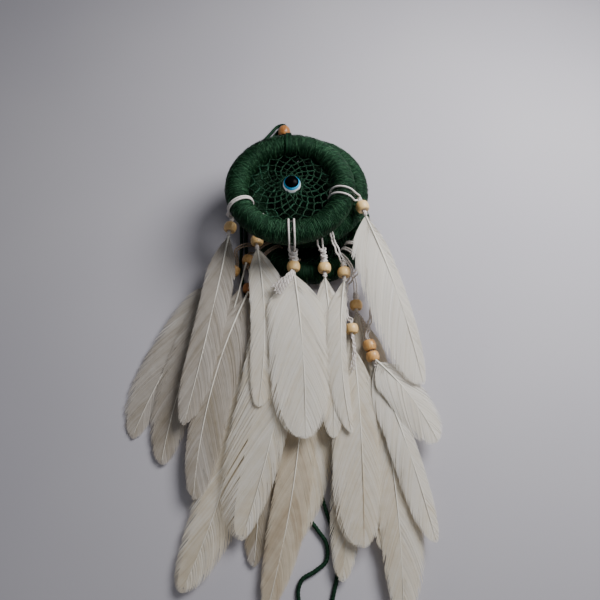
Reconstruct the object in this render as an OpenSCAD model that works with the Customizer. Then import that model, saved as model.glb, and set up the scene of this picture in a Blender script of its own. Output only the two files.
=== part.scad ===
// Dream catcher laid flat: three yarn-wrapped rings in a pile, thread webs, and feather pendants on white cords.
// It lies on z = 0, with the rings towards +Y and the feathers towards -Y. Millimetres.

/* [Rings] */
// Radius of the yarn-wrapped tube of each ring
tube_r = 7; // [6:0.25:7]
// Radius of the cane hoop inside the yarn
hoop_r = 4; // [2:0.5:5]
// Thickness of the thread webs
web_t = 1.4; // [1:0.2:1.6]
// Loops round each row of a web
web_loops = 12; // [8:1:14]
// Rows of loops in each web
web_rows = 4; // [2:1:5]

/* [Beads] */
// Radius of a wood bead
bead_r = 4.2; // [3.4:0.1:4.2]
// Length of a wood bead along its bore
bead_l = 6.6; // [5:0.2:6.8]
// Radius of a wood bead's bore
bead_bore_r = 1.4; // [1.4:0.05:1.6]
// Radius of the glass eye bead
eye_r = 5.5; // [4.5:0.1:5.5]

/* [Cords] */
// Half the width of the doubled white cord
cord_hw = 1.9; // [1.4:0.1:2.0]
// Half the thickness of the white cord
cord_hh = 0.9; // [0.6:0.1:0.9]
// Half the width of a knot
knot_r = 2.6; // [1.8:0.1:2.7]
// Radius of the green hanging cord
loop_r = 1.2; // [1:0.1:1.2]

/* [Feathers] */
// Thickness of a feather's vane
vane_t = 0.8; // [0.4:0.1:0.8]
// Radius of a feather's quill
quill_r = 0.9; // [0.5:0.1:1]
// Width of every feather, against its designed width
vane_scale = 1; // [0.7:0.05:1]

/* [Hidden] */
$fn = 48;

// The whole part is set down so that the middle of its outline is over the origin.
OFFSET = [12.5, -19, 0];

// Each ring: x, y and z of its middle, radius, and tilt about X.
RING_A = [-6, 98, 38, 32.5, -4];
RING_B = [4, 106, 21.5, 33, 0];
RING_C = [8, 87, 6.9, 32.5, 0];
// The web's middle, from the ring's middle.
EYE_OFF = [1, 2];

yarn = [0.03, 0.13, 0.07];
thread_col = [0.02, 0.10, 0.06];
wood_col = [0.83, 0.70, 0.50];
cord_col = [0.90, 0.87, 0.83];
feather_col = [0.93, 0.92, 0.88];

// ---------- vectors ----------
function unit(v) = v / norm(v);
function lerp(a, b, t) = a + (b - a) * t;

// ---------- rings ----------
module at_ring(r) { translate(OFFSET) translate([r[0], r[1], r[2]]) rotate([r[4], 0, 0]) children(); }

module hoop(r) {
  color("burlywood") at_ring(r) rotate_extrude() translate([r[3], 0]) circle(r = hoop_r);
}

// The lowest ring's yarn is pressed flat where the pile rests on it.
module wrap(r, flat = 20) {
  color(yarn) at_ring(r) rotate_extrude() translate([r[3], 0]) difference() {
    circle(r = tube_r);
    circle(r = hoop_r + 0.02);
    translate([-20, -20 - flat]) square([40, 20]);
  }
}

// A net of rows of diamond gaps, with a round gap in the middle.
module web(r, hole_r, off) {
  rim = r[3] - tube_r + 0.5;
  inner = 8.5;
  step = (rim - 2.5 - inner) / web_rows;
  color(thread_col) at_ring(r) {
    linear_extrude(web_t, center = true) difference() {
      circle(r = rim);
      translate(off) {
        circle(r = hole_r);
        for (i = [0 : web_rows - 1], k = [0 : web_loops - 1]) {
          m = inner + step * (i + 0.5);
          a = (k + (i % 2) / 2) * 360 / web_loops;
          w = m * 3.14159 / web_loops - 0.7;
          h = step * 0.80;
          rotate(a) translate([m, 0]) polygon([[-h, 0], [0, -w], [h * 0.9, 0], [0, w]] * 0.72);
        }
      }
    }
    // the thread that carries the eye bead
    if (hole_r > 5) translate([off[0], off[1], 0]) rotate([0, 90, 0]) cylinder(r = 0.5, h = 2 * hole_r + 1.5, center = true);
  }
}

module eye_bead() {
  color("steelblue") at_ring(RING_A) translate([EYE_OFF[0], EYE_OFF[1], 0]) rotate([0, 90, 0]) rotate_extrude() difference() {
    circle(r = eye_r);
    translate([-20, -10]) square([20.55, 20]);
  }
}

// ---------- swept cords ----------
// Rings of eight points along a path; s gives the direction of each ring's width.
function frame_at(p, s, i) =
  let (n = len(p) - 1,
       t = unit(p[min(i + 1, n)] - p[max(i - 1, 0)]),
       a = unit(s[i] - (s[i] * t) * t))
  [a, cross(t, a)];

module sweep8(p, s, hw, hh) {
  n = len(p);
  pts = [for (i = [0 : n - 1]) let (f = frame_at(p, s, i))
    for (k = [0 : 7]) p[i] + hw[i] * cos(k * 45 + 22.5) * f[0] + hh[i] * sin(k * 45 + 22.5) * f[1]];
  sides = [for (i = [0 : n - 2], k = [0 : 7]) let (a = i * 8 + k, b = i * 8 + (k + 1) % 8)
    each [[a, a + 8, b + 8], [a, b + 8, b]]];
  cap0 = [[for (k = [0 : 7]) k]];
  cap1 = [[for (k = [7 : -1 : 0]) (n - 1) * 8 + k]];
  polyhedron(points = pts, faces = concat(sides, cap0, cap1), convexity = 6);
}

// A point on the middle of a ring's tube, and the two directions of its cross-section.
function tube_mid(r, phi) = let (c = cos(r[4]), s = sin(r[4]))
  [r[0] + r[3] * cos(phi), r[1] + r[3] * sin(phi) * c, r[2] + r[3] * sin(phi) * s];
function tube_out(r, phi) = [cos(phi), sin(phi) * cos(r[4]), sin(phi) * sin(r[4])];
function tube_up(r) = [0, -sin(r[4]), cos(r[4])];

// A pendant: ring, angle on the ring, bead middle, heading, last angle of the loop, points on the way, knots, and for one the loop's first angle.
PEND = [
  ["a", -155, [-44, 80, 21], -10, -10, [[-44, 82, 32]], 0],
  ["a", -88, [-4, 53.5, 20], 0, 0, [[-4.6, 58, 34.5], [-4.2, 59.3, 28]], 2],
  ["a", -14, [38, 87, 34], 17, 30, [], 0],
  ["b", -78, [15, 53, 18.9], 2, 20, [[14, 62, 21.5]], 2],
  ["b", -66, [27, 50, 18.9], 1, 20, [[24.5, 60, 21.5]], 1],
  ["a", -128, [-27, 71.8, 19], 2, -62, [[-28.4, 74.5, 27]], 0, -165],
  ["c", -162, [-42.5, 56, 8], -22, 0, [[-35, 74.5, 8], [-41.5, 70.5, 8]], 0],
  ["c", -153, [-33.5, 63.5, 7.5], -8, 0, [[-31, 68, 7.5]], 0],
  ["c", -144, [-31.8, 43, 9.6], -11, 12, [[-26.6, 56, 8]], 0],
  ["c", -51, [35, 33, 7], 0, 0, [[35, 48, 7.2]], 1],
  ["c", -40, [31, 16, 12.5], 1, 50, [[37.5, 56, 13], [29, 44, 12.8], [27.5, 32, 12.5], [29, 23, 12.5]], 0],
  ["c", -29, [42.5, -1, 13.2], 12, 0, [[48, 55, 8], [43.5, 26, 11]], 0],
  ["c", -110, [2, 22, 6.5], -5, 0, [[-2, 38, 6.8]], 0]
];
function ring_of(c) = c == "a" ? RING_A : c == "b" ? RING_B : RING_C;
function head_dir(h) = [sin(h), -cos(h), 0];
function head_side(h) = [cos(h), sin(h), 0];
// The pendant's cord goes round the tube, down to the bead, through it, and ends in the knot that holds the quills.
module pendant_cord(n) {
  q = PEND[n - 1];
  r = ring_of(q[0]);
  m = tube_mid(r, q[1]);
  o = tube_out(r, q[1]);
  u = tube_up(r);
  tan = [-sin(q[1]), cos(q[1]), 0];
  rad = tube_r + 0.35 + cord_hh;
  first = len(q) > 7 ? q[7] : 163;
  loop = [for (i = [0 : 8]) let (b = lerp(first, q[4], i / 8)) m + rad * (cos(b) * o + sin(b) * u)];
  d = head_dir(q[3]);
  sd = head_side(q[3]);
  s0 = tan * sd < 0 ? -tan : tan;
  back = n == 12 ? 10.5 : 3.6;
  b = q[2];
  lift = q[0] == "a" && n != 3 ? [b - (back + 2.7) * d + [0, 0, 2.6]] : [b - (back + (n == 8 ? 1.2 : 2.4)) * d];
  k = [for (j = [1 : 1 : q[6]]) 1];
  way = q[5];
  body = concat(way, lift);
  tail = [b - back * d, b - 1.2 * d, b + 1.2 * d, b + 3.5 * d, b + 4.7 * d, b + 6.2 * d, b + 7.4 * d];
  path = concat(loop, body, tail);
  nb = len(body);
  side = concat([for (i = [0 : 8]) s0], [for (i = [0 : nb - 1]) unit(lerp(s0, sd, (i + 1) / (nb + 1)))], [for (i = [0 : 6]) sd]);
  hw = concat([for (i = [0 : 8]) cord_hw], [for (i = [0 : nb - 1]) i >= nb - q[6] ? knot_r * 0.9 : cord_hh + 0.4], [1.3, 1.3, 1.3, 1.3, 1.9, 1.9, 0.8]);
  hh = concat([for (i = [0 : 8]) cord_hh], [for (i = [0 : nb - 1]) i >= nb - q[6] ? knot_r * 0.8 : cord_hh + 0.2], [1.3, 1.3, 1.3, 1.3, 3.0, 3.0, 1.2]);
  color(cord_col) translate(OFFSET) sweep8(path, side, hw, hh);
}

// ---------- beads ----------
module bead_shape(r, l, bore) {
  rotate([90, 0, 0]) difference() {
    intersection() {
      sphere(r = r);
      cylinder(r = 2 * r, h = l, center = true);
    }
    cylinder(r = bore, h = 3 * l, center = true);
  }
}

module wood_bead(n, back = 0) {
  q = PEND[n - 1];
  color(wood_col) translate(OFFSET) translate(q[2] - back * head_dir(q[3])) rotate([0, 0, q[3]]) bead_shape(bead_r, bead_l, bead_bore_r);
}

module bead_pair_12() {
  wood_bead(12);
  wood_bead(12, 6.9);
}

// ---------- feathers ----------
function rise(t, t0) = pow(sin(90 * min(1, max(0, (t - t0) / 0.24))), 1.1);
function fall(t, p) = t <= 0.6 ? 1 : sqrt(max(0, 1 - pow((t - 0.6) / 0.4, p)));
function vane(t, p, t0) = max(0.03, rise(t, t0) * fall(t, p));

// A feather: pendant, height at the quill and at the tip, length, heading, bow, width to the left and right, roundness, and for some a bare start.
FEATHER_1 = [1, 20, 11.5, 118, -10, 1, 9, 9, 2.6];
FEATHER_2R = [2, 20.6, 16, 97, 4, 2, 19, 14, 2.6];
FEATHER_2L = [2, 16.6, 8.5, 150, -10, 6, 23, 8, 2.4];
FEATHER_3 = [3, 33, 16, 107, 17, 3, 18, 5, 2.2];
FEATHER_4 = [4, 18, 12.3, 96, 2, 2, 8, 7, 2.4];
FEATHER_5 = [5, 19.3, 13.6, 90, 1, -4, 8, 3, 2.2];
FEATHER_6 = [6, 18.5, 13.3, 98, 2, 4, 8, 12, 2.2];
FEATHER_7O = [7, 7, 1, 112, -28, -5, 15, 9, 2.4];
FEATHER_7I = [7, 8.5, 2.5, 118, -17, -6, 13, 11, 2.4];
FEATHER_8S = [8, 10, 6.8, 103, -15, 2, 7, 8, 2.2, 0.16];
FEATHER_8L = [8, 4.3, 2.2, 171, 3, 6, 10, 10, 2.6, 0.1];
FEATHER_9S = [9, 11.8, 7.5, 120, -12, -6, 8, 13, 2.4];
FEATHER_9L = [9, 8, 4, 164, -10, 11, 13, 15, 3];
FEATHER_10R = [10, 8, 6.6, 133, 4, 4, 9, 12, 2.8];
FEATHER_10L = [10, 6.2, 4.8, 147, -5, 2, 10.5, 9, 2.4];
FEATHER_11 = [11, 12.9, 9.8, 113, 1, 2, 16, 10, 4, 0.08];
FEATHER_12S = [12, 15.6, 13, 54, 35, 3, 12, 9, 2.6];
FEATHER_12M = [12, 13.6, 11.5, 97, 16, 2, 10, 5, 2.4];
FEATHER_12L = [12, 10.9, 6.9, 128, 4, 4, 10, 13, 2.6];
FEATHER_13A = [13, 7, 5.2, 149, -7, 6, 10, 10, 2.6];
FEATHER_13B = [13, 5, 3.4, 122, -4, 9, 9, 13, 1.8];

module feather(f) {
  q = PEND[f[0] - 1];
  L = f[3];
  N = 16;
  t0 = len(f) > 9 ? f[9] : 0.015;
  base = q[2] + 4.5 * head_dir(f[4]);
  color(feather_col) translate(OFFSET) translate([base[0], base[1], f[1]]) rotate([0, 0, f[4]]) rotate([atan((f[1] - f[2]) / L), 0, 0]) {
    linear_extrude(vane_t, center = true) polygon(concat(
      [for (i = [0 : N]) let (t = i / N) [f[5] * 4 * t * (1 - t) + f[7] * vane_scale * vane(t, f[8], t0), -L * t]],
      [for (i = [N : -1 : 0]) let (t = i / N) [f[5] * 4 * t * (1 - t) - f[6] * vane_scale * vane(t, f[8], t0), -L * t]]));
    // the quill, which runs into the knot
    translate([0, 0.6, 0]) rotate([90, 0, -atan(4 * f[5] / L)]) cylinder(r = quill_r, h = 9);
  }
}

// ---------- ties and the hanging cord ----------
// The tie of the front ring runs over its tube to the top of the second ring.
module tie_a() {
  m = tube_mid(RING_A, 92);
  o = tube_out(RING_A, 92);
  u = tube_up(RING_A);
  p = concat([for (i = [0 : 6]) let (b = lerp(160, -5, i / 6)) m + (tube_r + 1.1) * (cos(b) * o + sin(b) * u)], [[-7, 139.6, 31.2]]);
  color(yarn) translate(OFFSET) sweep8(p, [for (i = p) [1, 0, 0]], [for (i = p) 3], [for (i = p) 1]);
}

// The tie of the second ring runs over its tube and down to the hanging cord.
module tie_b() {
  m = tube_mid(RING_B, 108);
  o = tube_out(RING_B, 108);
  u = tube_up(RING_B);
  p = concat([for (i = [0 : 6]) let (b = lerp(60, -30, i / 6)) m + (tube_r + 1.1) * (cos(b) * o + sin(b) * u)], [[-8.5, 148, 11.5], [-8.6, 150, 8.2]]);
  color(yarn) translate(OFFSET) sweep8(p, [for (i = p) [1, 0.3, 0]], [for (i = p) 2.4], [for (i = p) 1]);
}

// The hanging cord's points: from the third ring through the top bead, back along the left side, under the feathers, out past them, and home.
LOOP_PTS = [
  [-3, 127, 6.5], [-6, 138, 2.6], [-9, 150, 2.4], [-10.2, 159, 3.6], [-10.2, 164, 4.6], [-10.2, 168, 4.6], [-10.2, 172.4, 4.3],
  [-12.4, 176, 2.6], [-17, 175.5, 1.3], [-21.5, 169.5, 1.3], [-27, 162, 1.3], [-33.5, 152, 1.3], [-38, 140, 1.3], [-40.5, 125, 1.3], [-41, 110, 1.3], [-40, 92, 1.3],
  [-39, 76, 1.3], [-39, 62, 1.3], [-36, 46, 1.3], [-30, 26, 1.3], [-24, 6, 1.3], [-18, -14, 1.3], [-11, -34, 1.3], [-5, -54, 1.3], [-1, -72, 1.3],
  [3, -85, 1.3], [9, -93, 1.3], [14, -100, 1.3], [14, -108, 1.3], [8, -113, 1.3], [1, -117, 1.3], [-1, -124, 1.3], [2, -131, 1.3], [9, -134, 1.3],
  [15, -130, 1.3], [18, -121, 1.3], [20, -112, 1.3], [19.5, -102, 1.3], [17, -92, 1.3], [13.5, -82, 1.3], [10, -70, 1.3], [6, -54, 1.3],
  [0, -36, 1.3], [-8, -15, 1.3], [-15, 5, 1.3], [-21, 25, 1.3], [-28, 44, 1.3], [-34, 62, 1.3], [-36, 76, 1.3], [-37, 92, 1.3], [-38, 110, 1.3],
  [-37.4, 124, 1.3], [-35, 138, 1.3], [-30.5, 149.5, 1.3], [-24.5, 159, 1.3], [-19.5, 166, 1.3], [-16, 171, 1.9], [-13.3, 172.6, 3.9], [-12.8, 170.6, 4.6], [-12.8, 168, 4.6], [-12.8, 164, 4.6],
  [-12, 158, 3.4], [-10.8, 149, 2], [-9.5, 138, 2], [-8, 127.5, 6]
];

module hanging_cord() {
  p = LOOP_PTS;
  n = len(p) - 1;
  s = [for (i = [0 : n]) let (t = unit(p[min(i + 1, n)] - p[max(i - 1, 0)])) unit(cross(t, [0, 0, 1]))];
  color(yarn) translate(OFFSET) sweep8(p, s, [for (i = p) loop_r], [for (i = p) loop_r]);
}

module top_bead() {
  color(wood_col) translate(OFFSET) translate([-11.5, 168, 4.6]) bead_shape(4.5, 7.6, 2.65);
}

hoop(RING_A);  // hoop_a
wrap(RING_A);  // wrap_a
web(RING_A, eye_r + 0.3, EYE_OFF);  // web_a
eye_bead();
tie_a();
hoop(RING_B);  // hoop_b
wrap(RING_B);  // wrap_b
web(RING_B, 3, [0, 0]);  // web_b
tie_b();
hoop(RING_C);  // hoop_c
wrap(RING_C, RING_C[2]);  // wrap_c
web(RING_C, 3, [0, 0]);  // web_c
top_bead();
hanging_cord();
pendant_cord(1);  // cord_1
wood_bead(1);  // bead_1
feather(FEATHER_1);  // feather_1
pendant_cord(2);  // cord_2
wood_bead(2);  // bead_2
feather(FEATHER_2R);  // feather_2_right
feather(FEATHER_2L);  // feather_2_left
pendant_cord(3);  // cord_3
wood_bead(3);  // bead_3
feather(FEATHER_3);  // feather_3
pendant_cord(4);  // cord_4
wood_bead(4);  // bead_4
feather(FEATHER_4);  // feather_4
pendant_cord(5);  // cord_5
wood_bead(5);  // bead_5
feather(FEATHER_5);  // feather_5
pendant_cord(6);  // cord_6
wood_bead(6);  // bead_6
feather(FEATHER_6);  // feather_6
pendant_cord(7);  // cord_7
wood_bead(7);  // bead_7
feather(FEATHER_7O);  // feather_7_outer
feather(FEATHER_7I);  // feather_7_inner
pendant_cord(8);  // cord_8
wood_bead(8);  // bead_8
feather(FEATHER_8S);  // feather_8_short
feather(FEATHER_8L);  // feather_8_long
pendant_cord(9);  // cord_9
wood_bead(9);  // bead_9
feather(FEATHER_9S);  // feather_9_short
feather(FEATHER_9L);  // feather_9_long
pendant_cord(10);  // cord_10
wood_bead(10);  // bead_10
feather(FEATHER_10R);  // feather_10_right
feather(FEATHER_10L);  // feather_10_left
pendant_cord(11);  // cord_11
wood_bead(11);  // bead_11
feather(FEATHER_11);  // feather_11
pendant_cord(12);  // cord_12
bead_pair_12();  // beads_12
feather(FEATHER_12S);  // feather_12_short
feather(FEATHER_12M);  // feather_12_mid
feather(FEATHER_12L);  // feather_12_long
pendant_cord(13);  // cord_13
wood_bead(13);  // bead_13
union() { feather(FEATHER_13A); feather(FEATHER_13B); }  // feathers_13
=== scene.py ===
import math

import bpy
import numpy as np
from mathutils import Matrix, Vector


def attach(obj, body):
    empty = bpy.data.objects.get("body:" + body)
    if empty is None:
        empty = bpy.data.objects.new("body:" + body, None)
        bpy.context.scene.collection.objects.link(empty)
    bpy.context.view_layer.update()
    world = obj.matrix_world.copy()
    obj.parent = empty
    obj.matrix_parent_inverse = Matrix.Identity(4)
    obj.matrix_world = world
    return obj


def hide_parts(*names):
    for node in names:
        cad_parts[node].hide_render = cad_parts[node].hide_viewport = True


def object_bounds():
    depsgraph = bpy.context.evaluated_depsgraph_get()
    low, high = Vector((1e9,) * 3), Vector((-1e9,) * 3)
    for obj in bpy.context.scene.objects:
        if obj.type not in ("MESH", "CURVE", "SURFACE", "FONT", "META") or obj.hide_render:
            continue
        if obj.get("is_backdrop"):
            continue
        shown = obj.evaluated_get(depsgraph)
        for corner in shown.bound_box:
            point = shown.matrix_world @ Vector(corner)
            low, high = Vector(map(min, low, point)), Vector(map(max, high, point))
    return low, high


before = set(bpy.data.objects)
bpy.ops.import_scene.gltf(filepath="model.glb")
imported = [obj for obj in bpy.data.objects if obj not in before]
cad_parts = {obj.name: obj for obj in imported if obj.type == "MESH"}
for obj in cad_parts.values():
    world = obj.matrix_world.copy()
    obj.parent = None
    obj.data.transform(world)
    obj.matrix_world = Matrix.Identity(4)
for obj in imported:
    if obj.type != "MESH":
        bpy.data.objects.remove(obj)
CAD_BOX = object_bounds()

# ------------------------------------------------------------------ basics
OFF = np.array([12.5, -19.0, 0.0])
RINGS = {
    "a": (-6, 98, 38, 32.5, -4),
    "b": (4, 106, 21.5, 33, 0),
    "c": (8, 87, 6.9, 32.5, 0),
}
TUBE_R = 7.0


def rnd(seed):
    return np.random.default_rng(seed)


def unit(v):
    v = np.asarray(v, float)
    return v / max(np.linalg.norm(v), 1e-9)


# ------------------------------------------------------------------ camera
cam_data = bpy.data.cameras.new("camera")
cam_data.lens = 27
cam_data.sensor_width = 36
cam_data.clip_start = 0.01
cam = bpy.data.objects.new("camera", cam_data)
bpy.context.scene.collection.objects.link(cam)
cam.location = (0.0125, -0.079, 0.272)
cam.rotation_euler = (math.radians(20), 0, 0)
bpy.context.scene.camera = cam


# ------------------------------------------------------------------ mesh building, in millimetres
class Acc:
    def __init__(self):
        self.v, self.f, self.m, self.tint, self.n = [], [], [], [], 0

    def add(self, v, faces, mat=0, tint=0.5):
        v = np.asarray(v, float).reshape(-1, 3)
        for f in faces:
            f = np.asarray(f, int)
            if len(f):
                self.f.append(f + self.n)
                self.m.append(np.full(len(f), mat))
        self.v.append(v)
        self.tint.append(np.broadcast_to(np.asarray(tint, float), (len(v),)))
        self.n += len(v)

    def make(self, name, mats, offset=OFF, smooth=True):
        me = bpy.data.meshes.new(name)
        v = (np.concatenate(self.v) + offset) * 0.001
        sizes = np.concatenate([np.full(len(f), f.shape[1]) for f in self.f])
        loops = np.concatenate([f.ravel() for f in self.f])
        me.vertices.add(len(v))
        me.vertices.foreach_set("co", v.astype(np.float32).ravel())
        me.loops.add(len(loops))
        me.loops.foreach_set("vertex_index", loops.astype(np.int32))
        me.polygons.add(len(sizes))
        starts = np.concatenate([[0], np.cumsum(sizes)[:-1]])
        me.polygons.foreach_set("loop_start", starts.astype(np.int32))
        me.polygons.foreach_set("loop_total", sizes.astype(np.int32))
        me.polygons.foreach_set("material_index", np.concatenate(self.m).astype(np.int32))
        me.polygons.foreach_set("use_smooth", np.full(len(sizes), smooth))
        me.update(calc_edges=True)
        a = me.attributes.new("tint", "FLOAT", "POINT")
        a.data.foreach_set("value", np.concatenate(self.tint).astype(np.float32))
        me.validate()
        for m in mats:
            me.materials.append(m)
        o = bpy.data.objects.new(name, me)
        bpy.context.scene.collection.objects.link(o)
        return o


def spline(points, step):
    """A smooth curve through the points, sampled about every step millimetres."""
    p = np.asarray(points, float)
    q = np.vstack([2 * p[0] - p[1], p, 2 * p[-1] - p[-2]])
    out = []
    for i in range(1, len(q) - 2):
        n = max(2, int(math.ceil(np.linalg.norm(q[i + 1] - q[i]) / step)))
        for k in range(n):
            t = k / n
            out.append(0.5 * ((2 * q[i]) + (-q[i - 1] + q[i + 1]) * t
                              + (2 * q[i - 1] - 5 * q[i] + 4 * q[i + 1] - q[i + 2]) * t * t
                              + (-q[i - 1] + 3 * q[i] - 3 * q[i + 1] + q[i + 2]) * t ** 3))
    out.append(p[-1])
    return np.array(out)


def moving_frames(p, side=None):
    t = np.gradient(p, axis=0)
    t /= np.maximum(np.linalg.norm(t, axis=1, keepdims=True), 1e-9)
    a = np.zeros_like(p)
    s = np.asarray(side if side is not None else (0, 0, 1), float)
    if abs(np.dot(unit(s), t[0])) > 0.95:
        s = np.array([1.0, 0.2, 0])
    for i in range(len(p)):
        s = s - np.dot(s, t[i]) * t[i]
        s = unit(s)
        a[i] = s
    return t, a, np.cross(t, a)


def tube(acc, p, r, sides=8, mat=0, tint=0.5, lobes=0, depth=0.0, pitch=4.0, caps=True, side=None, flat=1.0):
    """A closed tube along p. lobes with depth and pitch give the section of a twisted cord."""
    p = np.asarray(p, float)
    n = len(p)
    r = np.broadcast_to(np.asarray(r, float), (n,))
    t, a, b = moving_frames(p, side)
    along = np.concatenate([[0], np.cumsum(np.linalg.norm(np.diff(p, axis=0), axis=1))])
    ang = np.arange(sides) * 2 * np.pi / sides
    rad = r[:, None] * np.ones((1, sides))
    if lobes:
        rad = rad * (1 - depth * (1 - np.abs(np.cos(lobes / 2 * (ang[None, :] - 2 * np.pi * along[:, None] / pitch)))))
    v = p[:, None, :] + rad[:, :, None] * (np.cos(ang)[None, :, None] * a[:, None, :] + flat * np.sin(ang)[None, :, None] * b[:, None, :])
    i, k = np.meshgrid(np.arange(n - 1), np.arange(sides), indexing="ij")
    k2 = (k + 1) % sides
    q = np.stack([i * sides + k, i * sides + k2, (i + 1) * sides + k2, (i + 1) * sides + k], -1).reshape(-1, 4)
    v = v.reshape(-1, 3)
    faces = [q]
    tv = np.asarray(tint, float)
    tv = np.repeat(np.broadcast_to(tv, (n,)), sides) if tv.ndim <= 1 else tv.ravel()
    if caps:
        v = np.vstack([v, p[0], p[-1]])
        tv = np.concatenate([tv, [tv[0], tv[-1]]])
        kk = np.arange(sides)
        faces.append(np.stack([np.full(sides, n * sides), (kk + 1) % sides, kk], -1))
        e = (n - 1) * sides
        faces.append(np.stack([np.full(sides, n * sides + 1), e + kk, e + (kk + 1) % sides], -1))
    acc.add(v, faces, mat, tv)


def ring_matrix(r):
    c, s = math.cos(math.radians(r[4])), math.sin(math.radians(r[4]))
    return np.array([[1, 0, 0], [0, c, -s], [0, s, c]])


def on_ring(r, local):
    return np.asarray(local, float) @ ring_matrix(r).T + np.array(r[:3], float)


# ------------------------------------------------------------------ materials
def material(name, rough=0.6, spec=0.5, sheen=0.0, sheen_rough=0.4, coat=0.0):
    m = bpy.data.materials.new(name)
    m.use_nodes = True
    nt = m.node_tree
    b = nt.nodes["Principled BSDF"]
    b.inputs["Roughness"].default_value = rough
    b.inputs["Specular IOR Level"].default_value = spec
    b.inputs["Sheen Weight"].default_value = sheen
    b.inputs["Sheen Roughness"].default_value = sheen_rough
    b.inputs["Coat Weight"].default_value = coat
    b.inputs["Coat Roughness"].default_value = 0.08
    return m, nt, b


def coords(nt, scale=(1, 1, 1), rotation=(0, 0, 0)):
    tc = nt.nodes.new("ShaderNodeTexCoord")
    mp = nt.nodes.new("ShaderNodeMapping")
    mp.inputs["Scale"].default_value = scale
    mp.inputs["Rotation"].default_value = rotation
    nt.links.new(tc.outputs["Object"], mp.inputs["Vector"])
    return mp.outputs["Vector"]


def noise(nt, vec, scale, detail=3.0, rough=0.55, distortion=0.0):
    n = nt.nodes.new("ShaderNodeTexNoise")
    n.inputs["Scale"].default_value = scale
    n.inputs["Detail"].default_value = detail
    n.inputs["Roughness"].default_value = rough
    n.inputs["Distortion"].default_value = distortion
    nt.links.new(vec, n.inputs["Vector"])
    return n.outputs["Fac"]


def ramp(nt, fac, stops):
    r = nt.nodes.new("ShaderNodeValToRGB")
    e = r.color_ramp.elements
    while len(e) < len(stops):
        e.new(0.5)
    for i, (p, c) in enumerate(stops):
        e[i].position = p
        e[i].color = (*c, 1)
    nt.links.new(fac, r.inputs["Fac"])
    return r.outputs["Color"]


def math_node(nt, op, a, b):
    m = nt.nodes.new("ShaderNodeMath")
    m.operation = op
    for i, x in enumerate((a, b)):
        if isinstance(x, (int, float)):
            m.inputs[i].default_value = x
        else:
            nt.links.new(x, m.inputs[i])
    return m.outputs[0]


def tint_attr(nt):
    a = nt.nodes.new("ShaderNodeAttribute")
    a.attribute_name = "tint"
    return a.outputs["Fac"]


def bump(nt, b, height, strength, distance):
    n = nt.nodes.new("ShaderNodeBump")
    n.inputs["Strength"].default_value = strength
    n.inputs["Distance"].default_value = distance
    nt.links.new(height, n.inputs["Height"])
    nt.links.new(n.outputs["Normal"], b.inputs["Normal"])
    return n


def yarn_material(name, stops, sheen=0.25, scale=1.0, gloss=(0.45, 1.0, 0.62, 1)):
    m, nt, b = material(name, rough=0.50, spec=0.42, sheen=sheen, sheen_rough=0.45)
    b.inputs["Specular Tint"].default_value = gloss
    v = coords(nt)
    fine = noise(nt, v, 1600 * scale, 3.0, 0.6)
    wide = noise(nt, v, 130 * scale, 2.0)
    f = math_node(nt, "MULTIPLY", math_node(nt, "SUBTRACT", fine, 0.5), 0.9)
    w = math_node(nt, "MULTIPLY", math_node(nt, "SUBTRACT", wide, 0.5), 0.22)
    t = math_node(nt, "ADD", math_node(nt, "ADD", tint_attr(nt), f), w)
    nt.links.new(ramp(nt, t, stops), b.inputs["Base Color"])
    b.inputs["Sheen Tint"].default_value = (0.35, 0.75, 0.5, 1)
    bump(nt, b, noise(nt, v, 2400 * scale, 3.0, 0.65), 0.85, 0.0004)
    return m


yarn = yarn_material("yarn_green", [(0.0, (0.0001, 0.0012, 0.0005)), (0.40, (0.0006, 0.0085, 0.0030)), (0.68, (0.0035, 0.030, 0.0115)), (1.0, (0.075, 0.19, 0.10))], sheen=0.0)
cord_green = yarn_material("cord_green", [(0.0, (0.0003, 0.003, 0.0015)), (0.5, (0.0014, 0.012, 0.0055)), (1.0, (0.015, 0.07, 0.035))], sheen=0.0)
thread = yarn_material("web_thread", [(0.0, (0.0002, 0.002, 0.001)), (0.35, (0.0010, 0.007, 0.0035)), (0.7, (0.006, 0.030, 0.017)), (1.0, (0.05, 0.14, 0.09))], sheen=0.0)
thread.node_tree.nodes["Principled BSDF"].inputs["Roughness"].default_value = 0.38
# the thread of the two deep webs is near-black: painted shade for the dark well under the front web
painted_shade_thread = yarn_material("web_thread_painted_shade", [(0.0, (0.0002, 0.0012, 0.0006)), (0.5, (0.0006, 0.0035, 0.0018)), (1.0, (0.004, 0.014, 0.009))], sheen=0.0)
painted_shade_thread.node_tree.nodes["Principled BSDF"].inputs["Specular IOR Level"].default_value = 0.15
white_cord = yarn_material("cord_white", [(0.0, (0.42, 0.35, 0.32)), (0.45, (0.74, 0.69, 0.66)), (1.0, (0.90, 0.87, 0.85))], gloss=(1, 1, 1, 1))
# a darker, browner copy of the white cord for the cords that lie in deep shade under the rings: painted shade
painted_shade_cord = yarn_material("cord_natural", [(0.0, (0.10, 0.07, 0.05)), (0.45, (0.24, 0.18, 0.13)), (1.0, (0.42, 0.33, 0.26))], sheen=0.1, gloss=(1, 0.9, 0.8, 1))
painted_shade_cord.node_tree.nodes["Principled BSDF"].inputs["Sheen Tint"].default_value = (1, 0.9, 0.8, 1)
white_cord.node_tree.nodes["Principled BSDF"].inputs["Sheen Tint"].default_value = (1, 0.95, 0.93, 1)
white_cord.node_tree.nodes["Principled BSDF"].inputs["Roughness"].default_value = 0.5


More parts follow.
